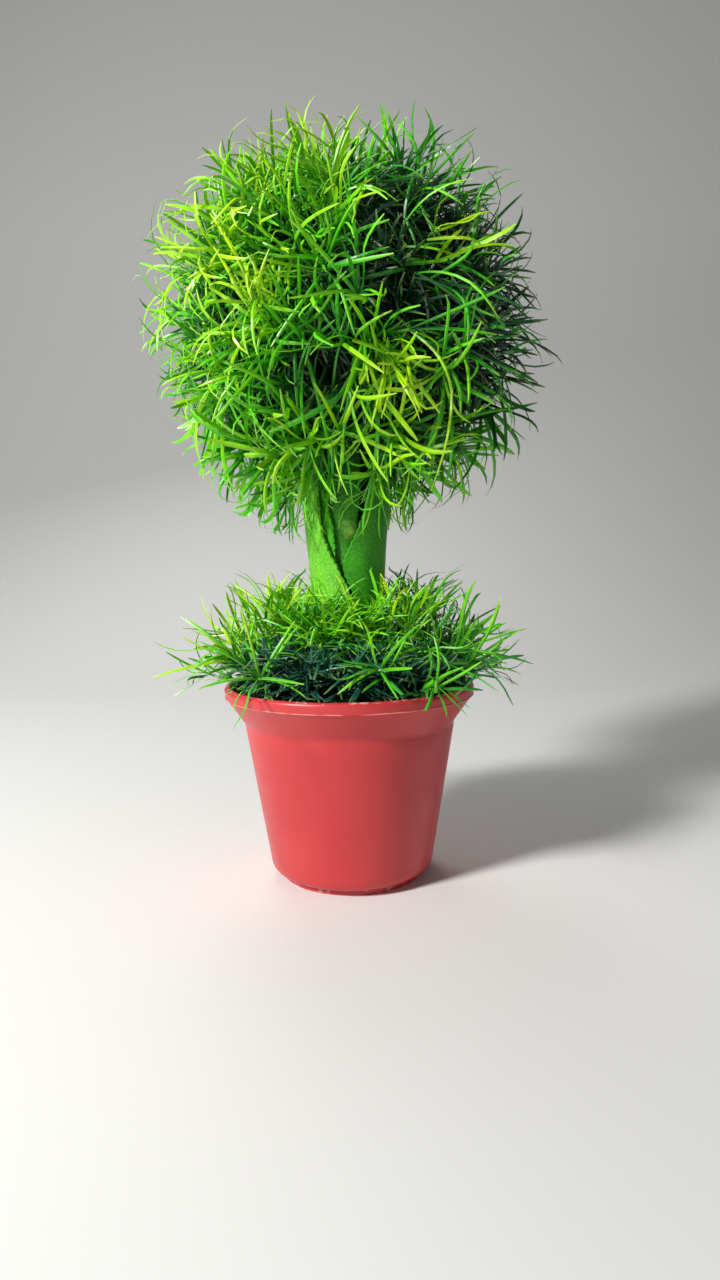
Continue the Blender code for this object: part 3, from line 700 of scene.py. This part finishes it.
# %% [markdown]
# ## Branches and sprigs
#
# The factory moulds a whorl of blades on a short peg and pushes whorls one after another onto a
# branching stem. The model does the same. A branch is a thin stem with whorls of blades along
# it, and each branch keeps to three kinds of blade, so that its blades sweep alike. A sprig is
# one branch straight out, seven or eight that lean away from it, and nine short ones round its
# foot that close the gaps; these inner ones get a dark tone as painted shade of the ball's
# inside. Four sprigs are built once, by setting copies of the blades at their places and joining
# them, and are then copied all over the ball.

# %% Plant and join
rng = random.Random(4711)
part_numbers = iter(range(1_000_000))


def copied(source, place):
    """A copy of a piece with its own mesh, moved to its place in its mesh."""
    mesh = source.data.copy()
    mesh.transform(place)
    copy = bpy.data.objects.new(source.name, mesh)
    bpy.context.scene.collection.objects.link(copy)
    return copy


def planted(source, place, tone):
    """A copy of a blade or stem, with its shade and a number of its own on its vertices."""
    copy = copied(source, place)
    for name, value in (("tone", tone), ("part", next(part_numbers))):
        values = copy.data.attributes[name].data
        values.foreach_set("value", [value] * len(values))
    return copy


def by_part(piece):
    """The vertices of each blade and stem of a sprig: their numbers and their places."""
    parts = {}
    for index, part in enumerate(piece.data.attributes["part"].data):
        parts.setdefault(part.value, []).append(index)
    corners = piece.data.vertices
    return [(own, [corners[i].co.copy() for i in own]) for own in parts.values()]


def pluck(piece, test):
    """Delete the blades and stems of a sprig that pass a test."""
    parts = by_part(piece)
    select_none()
    piece.select_set(True)
    bpy.context.view_layer.objects.active = piece
    bpy.ops.object.mode_set(mode="EDIT")
    bpy.ops.mesh.select_mode(type="VERT")
    bpy.ops.mesh.select_all(action="DESELECT")
    bpy.ops.object.mode_set(mode="OBJECT")
    gone = 0
    for own, points in parts:
        if test(points):
            gone += 1
            for i in own:
                piece.data.vertices[i].select = True
    bpy.ops.object.mode_set(mode="EDIT")
    bpy.ops.mesh.delete(type="VERT")
    bpy.ops.object.mode_set(mode="OBJECT")
    return gone


def joined(name, pieces):
    select_none()
    for piece in pieces:
        piece.select_set(True)
    bpy.context.view_layer.objects.active = pieces[0]
    bpy.ops.object.join()
    pieces[0].name = name
    return pieces[0]


STEM_SECTION = (5, 2.0 * MM, 2.0 * MM, 0.0)
STEM_WIDTHS = (1.0, 0.92, 0.85, 0.75, 0.62)
STEM_STEPS = len(STEM_WIDTHS) - 1
STEMS = {}
for length in (14, 22, 26, 38):
    for bend in (0, 4, 6):
        bends = (bend,) * STEM_STEPS
        STEMS[length, bend] = grown("stem", STEM_SECTION, STEM_WIDTHS, length * MM, bends)


def turned(degrees, axis):
    return Matrix.Rotation(math.radians(degrees), 4, axis)


def whorl(place, kinds, count, lean, tone, short=1.0):
    """Blades set round a point of a stem, leaning out by about lean degrees from its axis."""
    blades = []
    first = rng.uniform(0, 360)
    for i in range(count):
        blade = rng.choice(kinds)
        size = short * rng.uniform(0.78, 1.12)
        out = Matrix.Translation((0.7 * MM, 0, rng.uniform(-1.5, 1.5) * MM))
        spin = turned(first + 360 * (i + rng.uniform(-0.3, 0.3)) / count, "Z")
        tip = turned(lean * rng.uniform(0.55, 1.35), "Y")
        twist = turned(rng.gauss(0, 50), "Z")
        stretch = Matrix.Diagonal((rng.uniform(0.8, 1.15), rng.uniform(0.8, 1.1), size, 1))
        shade = tone + rng.gauss(0, 0.09)
        blades.append(planted(blade, place @ spin @ out @ tip @ twist @ stretch, shade))
    return blades


def branch(place, stem_key, whorls, tone):
    """A stem with whorls at (share of its length, blades, lean, length of blade)."""
    length, bend = stem_key
    kinds = rng.sample(BLADES, 3)
    pieces = [planted(STEMS[stem_key], place, tone - 0.2)]
    for share, count, lean, short in whorls:
        heading, spot = 0.0, Vector()
        for _ in range(round(share * STEM_STEPS)):
            heading += math.radians(bend)
            spot += Vector((math.sin(heading), 0, math.cos(heading))) * length * MM / STEM_STEPS
        here = place @ Matrix.Translation(spot) @ Matrix.Rotation(heading, 4, "Y")
        pieces += whorl(here, kinds, count, lean, tone, short)
    return pieces


print("stems:", len(STEMS))


# %% Sprigs of the ball
# Each whorl is (share of the stem's length, blades, lean in degrees, share of a blade's length).
SPRAY = ((0.25, 3, 62, 0.70), (0.5, 4, 56, 0.82), (0.75, 4, 48, 0.92), (1.0, 6, 32, 1.0))
INNER_SPRAY = ((0.5, 5, 62, 0.66), (1.0, 7, 50, 0.80))
INNER_BRANCHES = 9


def ball_sprig(name, side_branches, lean):
    """A sprig that stands on the frame: a branch straight out, leaning ones, dark inner ones."""
    pieces = branch(Matrix(), (22, 0), SPRAY, 0.5)
    for i in range(side_branches):
        start = Matrix.Translation((0, 0, rng.uniform(5, 14) * MM))
        around = turned(360 * (i + rng.uniform(-0.2, 0.2)) / side_branches, "Z")
        away = turned(lean * rng.uniform(0.75, 1.2), "Y")
        key = (rng.choice((22, 26)), rng.choice((0, 6)))
        shade = 0.5 + rng.gauss(0, 0.05)
        pieces += branch(start @ around @ away @ turned(180, "Z"), key, SPRAY, shade)
    for i in range(INNER_BRANCHES):
        around = turned(360 / INNER_BRANCHES * i + rng.uniform(-14, 14), "Z")
        away = around @ turned(rng.uniform(42, 76), "Y")
        # Painted shade: the inner branches get a dark tone for the shade inside the ball.
        pieces += branch(away, (rng.choice((14, 22)), 0), INNER_SPRAY, 0.22)
    return joined(name, pieces)


SPRIGS = [
    ball_sprig("sprig_pattern_a", 7, 50),
    ball_sprig("sprig_pattern_b", 8, 54),
    ball_sprig("sprig_pattern_c", 7, 46),
    ball_sprig("sprig_pattern_d", 8, 50),
]
print("sprig patterns:", [len(s.data.polygons) for s in SPRIGS], "faces")

# %% [markdown]
# ## The ball
#
# Each CAD sprig gives the direction of one moulded sprig. A copy is turned to that direction and
# rolled at random. Its vertices are then eased back where a blade would stand too far out of the
# ball, kept off the trunk so that the ball can turn, and combed by a slow swirl so that
# neighbouring sprigs don't all radiate alike. Whole blades are plucked where they would touch the
# trunk and from a few hollows. The shades run in clumps, as sprigs of different batches do:
# yellow-green ones left of the middle, near the top and low on the right. Painted light lifts the
# left side a little, and painted shade darkens the blades round the hollow right of the middle,
# down the right side and towards the frame deep inside the ball.

# %% Place the ball's sprigs
BALL_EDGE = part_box("ball_sprig_01")[1].z - swivel.z
FRAME_EDGE = 45.0 * MM
SOFT_EDGE = BALL_EDGE - 6 * MM
HARD_EDGE = BALL_EDGE + 7 * MM
TRUNK_CLEARANCE = 27 * MM
TIP_CLEARANCE = 18 * MM
# Painted shade: the blades darken over this depth towards the frame, deep inside the ball.
ROOT_DEPTH = 46 * MM
PAINTED_ROOT_SHADE = 0.65


def eased_back(distance, soft, hard):
    """Hold a distance under hard, starting to hold it back at soft."""
    if distance <= soft:
        return distance
    room = hard - soft
    return soft + room * (1 - math.exp(-(distance - soft) / room))


def direction(node_name):
    corners = [v.co for v in frame["nodes"][node_name].data.vertices]
    return (middle_of(corners) - swivel).normalized()


def combed(v):
    """Shift a point of the ball by a slow swirl that grows outwards."""
    reach = max(0.0, (v - swivel).length - FRAME_EDGE)
    across, along, up = v.z * 61 + v.y * 40, v.x * 57 + 1.3, v.y * 52 + v.x * 31
    turn = Vector((math.sin(across), math.sin(along), math.sin(up)))
    return v + turn * reach * 0.10


# A hollow is (its direction, half its width, the distance from the centre that stays filled).
HOLLOWS = (
    (Vector((0.38, -0.89, 0.22)), math.radians(16), 64 * MM),
    (Vector((0.27, -0.81, 0.51)), math.radians(10), 66 * MM),
    (Vector((0.33, -0.94, -0.05)), math.radians(9), 66 * MM),
    (Vector((-0.09, -0.89, -0.44)), math.radians(9), 50 * MM),
)


def wraps_trunk(points):
    """Whether a blade would cut or wrap the trunk, by the points halfway between its rings."""
    halfway = [(a + b) / 2 for a, b in zip(points, points[BLADE_SECTION[0]:])]
    for p in halfway:
        reach = math.hypot(p.x, p.y)
        if p.z < BALL_UNDERSIDE + 4 * MM and reach < TRUNK_CLEARANCE - 1.5 * MM:
            return True
        if p.z < LEAF_TIP + 2 * MM and reach < TIP_CLEARANCE:
            return True
    middle = middle_of(points)
    reach = math.hypot(middle.x, middle.y)
    return middle.z < BALL_UNDERSIDE and reach < TRUNK_CLEARANCE + 0.8 * MM


def unwanted(points):
    """Whether a blade has its middle in a hollow, or touches the trunk."""
    away = middle_of(points) - swivel
    in_hollow = any(away.length > kept and away.angle(to) < wide for to, wide, kept in HOLLOWS)
    return in_hollow or wraps_trunk(points)


def hung(away):
    """Let the lowest sprigs sink towards the trunk."""
    low = max(0.0, -away.normalized().z - 0.45)
    level = Vector((away.x, away.y, 0))
    if low == 0 or level.length == 0:
        return away
    return Matrix.Rotation(0.55 * low, 3, level.cross(Vector((0, 0, -1)))) @ away


def fitted(v):
    """Comb a point of the ball, let it sag, hold it inside the ball and keep it off the trunk."""
    away = hung(combed(v) - swivel)
    reach = max(0.0, away.length - FRAME_EDGE) / (BALL_EDGE - FRAME_EDGE)
    up = away.normalized().z
    away.z -= (4 + 10 * max(0.0, -up - 0.35)) * MM * reach**2
    lower = (max(0.0, up) ** 2 - 5.5 * away.normalized().x) * MM
    v = swivel + away.normalized() * eased_back(away.length, SOFT_EDGE - lower, HARD_EDGE - lower)
    around = max(1 * MM, math.hypot(v.x, v.y))
    under = min(1.0, max(0.0, (BALL_UNDERSIDE + 8 * MM - v.z) / (10 * MM)))
    clear = (around**4 + (TRUNK_CLEARANCE * under) ** 4) ** 0.25
    return Vector((v.x * clear / around, v.y * clear / around, v.z))


# A spot of another shade is (its direction, the change of tone, its width). The brighter spots in
# front are batches of yellow-green sprigs and the lift on the left is painted light; the darker
# spots on the right, at the upper back right and round the hollow are painted shade.
TONE_LIGHT_AND_SHADE_SPOTS = (
    (Vector((-0.45, -0.88, 0.05)).normalized(), 0.58, 0.25),
    (Vector((0.30, -0.78, -0.52)).normalized(), 0.60, 0.34),
    (Vector((-0.29, -0.43, 0.85)).normalized(), 0.36, 0.42),
    (Vector((0.00, -0.88, 0.48)).normalized(), 0.28, 0.22),
    (Vector((0.60, -0.76, 0.26)).normalized(), 0.62, 0.22),
    (Vector((0.94, -0.22, 0.08)).normalized(), -0.52, 0.55),
    (Vector((0.72, -0.68, -0.08)).normalized(), -0.30, 0.28),
    (Vector((0.90, -0.30, -0.40)).normalized(), -0.22, 0.40),
    (Vector((-0.92, -0.38, -0.10)).normalized(), 0.22, 0.50),
    (Vector((-0.72, -0.68, -0.12)).normalized(), 0.16, 0.30),
    (Vector((-0.60, -0.55, -0.58)).normalized(), 0.14, 0.40),
    (Vector((0.50, -0.40, 0.75)).normalized(), -0.25, 0.35),
    (Vector((0.36, -0.90, 0.20)).normalized(), -0.50, 0.20),
    (Vector((0.26, -0.85, 0.46)).normalized(), -0.30, 0.14),
)


def batch_tone_light_and_shade(away):
    """How much brighter or darker the blades are in a direction from the ball's centre: batch
    colour, with painted light on the left and painted shade on the right and round the hollow.
    """
    tone = 0.0
    for spot, change, width in TONE_LIGHT_AND_SHADE_SPOTS:
        tone += change * math.exp(-((away - spot).length_squared / width**2))
    return tone


plucked = 0
ball_names = sorted(n for n in frame["nodes"] if n.startswith("ball_sprig"))
for index, name in enumerate(ball_names):
    away = direction(name)
    pattern = SPRIGS[(index * 3 + index // 5) % len(SPRIGS)]
    face = away.to_track_quat("Z", "Y").to_matrix().to_4x4()
    place = Matrix.Translation(swivel + away * (FRAME_EDGE - 1 * MM)) @ face
    sprig = copied(pattern, place @ turned(rng.uniform(0, 360), "Z"))
    sprig.name = name.replace("ball_sprig", "foliage_sprig")
    own = 0.11 + rng.gauss(0, 0.05)
    for v in sprig.data.vertices:
        v.co = fitted(v.co)
    tones = sprig.data.attributes["tone"].data
    # The tone adds the sprig's batch colour and the spots' painted light and shade.
    for blade, points in by_part(sprig):
        batch_light_and_shade = own + batch_tone_light_and_shade((middle_of(points) - swivel).normalized())
        for i in blade:
            # Painted shade: the deeper a vertex lies towards the frame, the darker its tone.
            out = (sprig.data.vertices[i].co - swivel).length
            inward_shade = max(0.0, 1 - (out - FRAME_EDGE) / ROOT_DEPTH)
            tones[i].value += batch_light_and_shade - PAINTED_ROOT_SHADE * inward_shade
    plucked += pluck(sprig, unwanted)
    set_material(sprig, ball_plastic)
    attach(sprig, "ball")
    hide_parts(name)
print("ball:", len(ball_names), "sprigs,", plucked, "blades plucked")

# %% [markdown]
# ## Grass in the pot
#
# The ring of grass is made of the same whorls. A tuft stands on the CAD tuft's peg: its low stems
# lean out over the rim with dark blue-green blades, and the upright ones behind them are bright
# and tall. The tufts at the front are lower and mostly dark, with their bright stems set further
# back. Painted shade darkens the blades the lower they stand, more so at the front, and the tufts
# are lighter on the left and darker at the back and on the right as painted light and shade.
# Blades that reach past the rim rest on it and hang over it.

# %% Tufts
LOW_SPRAY = ((0.25, 4, 50, 0.45), (0.5, 5, 46, 0.52), (0.75, 5, 40, 0.56), (1.0, 6, 32, 0.60))
TALL_SPRAY = ((0.5, 4, 50, 0.74), (0.75, 5, 42, 0.86), (1.0, 7, 32, 0.98))


def grass_tuft(name, leans, low_stems=(14, 22), low_leans=(44, 66), behind=0.0):
    """A tuft whose outside is +X: low dark branches, then arching and upright bright ones.

    behind is how far back from the dark branches the bright ones stand.
    """
    pieces = []
    for around in (-60, -35, -12, 12, 35, 60):
        away = turned(around + rng.uniform(-8, 8), "Z") @ turned(rng.uniform(*low_leans), "Y")
        pieces += branch(away, (rng.choice(low_stems), 0), LOW_SPRAY, 0.04)
    back = Matrix.Translation((-behind, 0, 0))
    for around, lean in zip((-60, -22, 22, 60), leans):
        away = turned(around + rng.uniform(-10, 10), "Z") @ turned(lean + rng.uniform(-5, 5), "Y")
        pieces += branch(back @ away, (38, 4), TALL_SPRAY, 0.52)
    for around in (-100, 100, 0):
        away = turned(around + rng.uniform(-20, 20), "Z") @ turned(rng.uniform(4, 18), "Y")
        pieces += branch(back @ away, (38, 0), TALL_SPRAY, 0.62)
    return joined(name, pieces)


TUFT_PATTERNS = [
    grass_tuft("tuft_pattern_wide", (46, 60, 36, 54)),
    grass_tuft("tuft_pattern_middling", (40, 52, 30, 46)),
    grass_tuft("tuft_pattern_dark", (-6, 4, -8, 0), (22, 26), (14, 58), 14 * MM),
]
print("tuft patterns:", [len(t.data.polygons) for t in TUFT_PATTERNS], "faces")

# %% Place the tufts
GRASS_EDGE = 109.0 * MM
GRASS_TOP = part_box("grass_tuft_01")[1].z
TUFT_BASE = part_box("grass_mat")[1].z + 4 * MM
FRONT_BEARING = -104
FRONT_WIDTH = 33
# How low a blade may hang is a line of (distance from the axis, height) points.
RIM_REST = (
    (RIM - 8 * MM, TUFT_BASE - 3 * MM),
    (RIM - 4 * MM, RIM_HEIGHT + 1 * MM),
    (RIM + 8 * MM, RIM_HEIGHT + 6 * MM),
    (GRASS_EDGE, RIM_HEIGHT - 16 * MM),
)


def rooted(v):
    """Keep a point of the grass off the trunk, over the rim and under the grass's top."""
    around = math.hypot(v.x, v.y)
    clear = eased(trunk_radii, v.z) + 1.5 * MM
    wanted = max(clear, eased_back(around, GRASS_EDGE - 9 * MM, GRASS_EDGE))
    height = eased_back(v.z, GRASS_TOP - 8 * MM, GRASS_TOP + 6 * MM)
    rest = between(RIM_REST, wanted)
    return Vector((v.x * wanted / around, v.y * wanted / around, max(height, rest)))


# A spot of another shade is (its bearing in degrees round +Z, the change of tone). The spots are
# mostly painted light and shade: lighter on the left, towards the key light, darker at the back
# and on the right, away from it.
GRASS_LIGHT_AND_SHADE_SPOTS = ((180, 0.15), (150, 0.36), (-60, 0.16), (45, -0.35), (80, -0.25), (-22, -0.15))
tuft_names = sorted(n for n in frame["nodes"] if n.startswith("grass_tuft"))
for index, name in enumerate(tuft_names):
    root = middle_of([v.co for v in frame["nodes"][name].data.vertices if v.co.z < TUFT_BASE])
    bearing = math.degrees(math.atan2(root.y, root.x))
    gap = (bearing - FRONT_BEARING + 180) % 360 - 180
    front = math.exp(-((gap / FRONT_WIDTH) ** 2))
    pattern = TUFT_PATTERNS[2 if front > 0.32 else index % 2]
    place = Matrix.Translation((root.x, root.y, TUFT_BASE)) @ turned(bearing, "Z")
    tuft = copied(pattern, place)
    tuft.name = name.replace("grass_tuft", "pot_grass")
    own = rng.gauss(0, 0.04)
    for angle, change in GRASS_LIGHT_AND_SHADE_SPOTS:
        gap = (bearing - angle + 180) % 360 - 180
        own += change * math.exp(-((gap / 28) ** 2))
    for v, tone in zip(tuft.data.vertices, tuft.data.attributes["tone"].data):
        v.co.z -= 0.22 * front * max(0.0, v.co.z - TUFT_BASE)
        v.co = rooted(v.co)
        # Painted shade: the tone drops the lower a blade stands in the tuft, more steeply at the
        # front.
        rise = (5.0 + 6.0 * front) * (v.co.z - TUFT_BASE - 32 * MM)
        tone.value += own + min(rise, 0.04)
    set_material(tuft, grass_plastic)
    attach(tuft, "stand")
    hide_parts(name)
print("pot grass:", len(tuft_names), "tufts")

# %% Put the patterns away
for pattern in [*BLADES, *STEMS.values(), *SPRIGS, *TUFT_PATTERNS]:
    bpy.data.objects.remove(pattern)
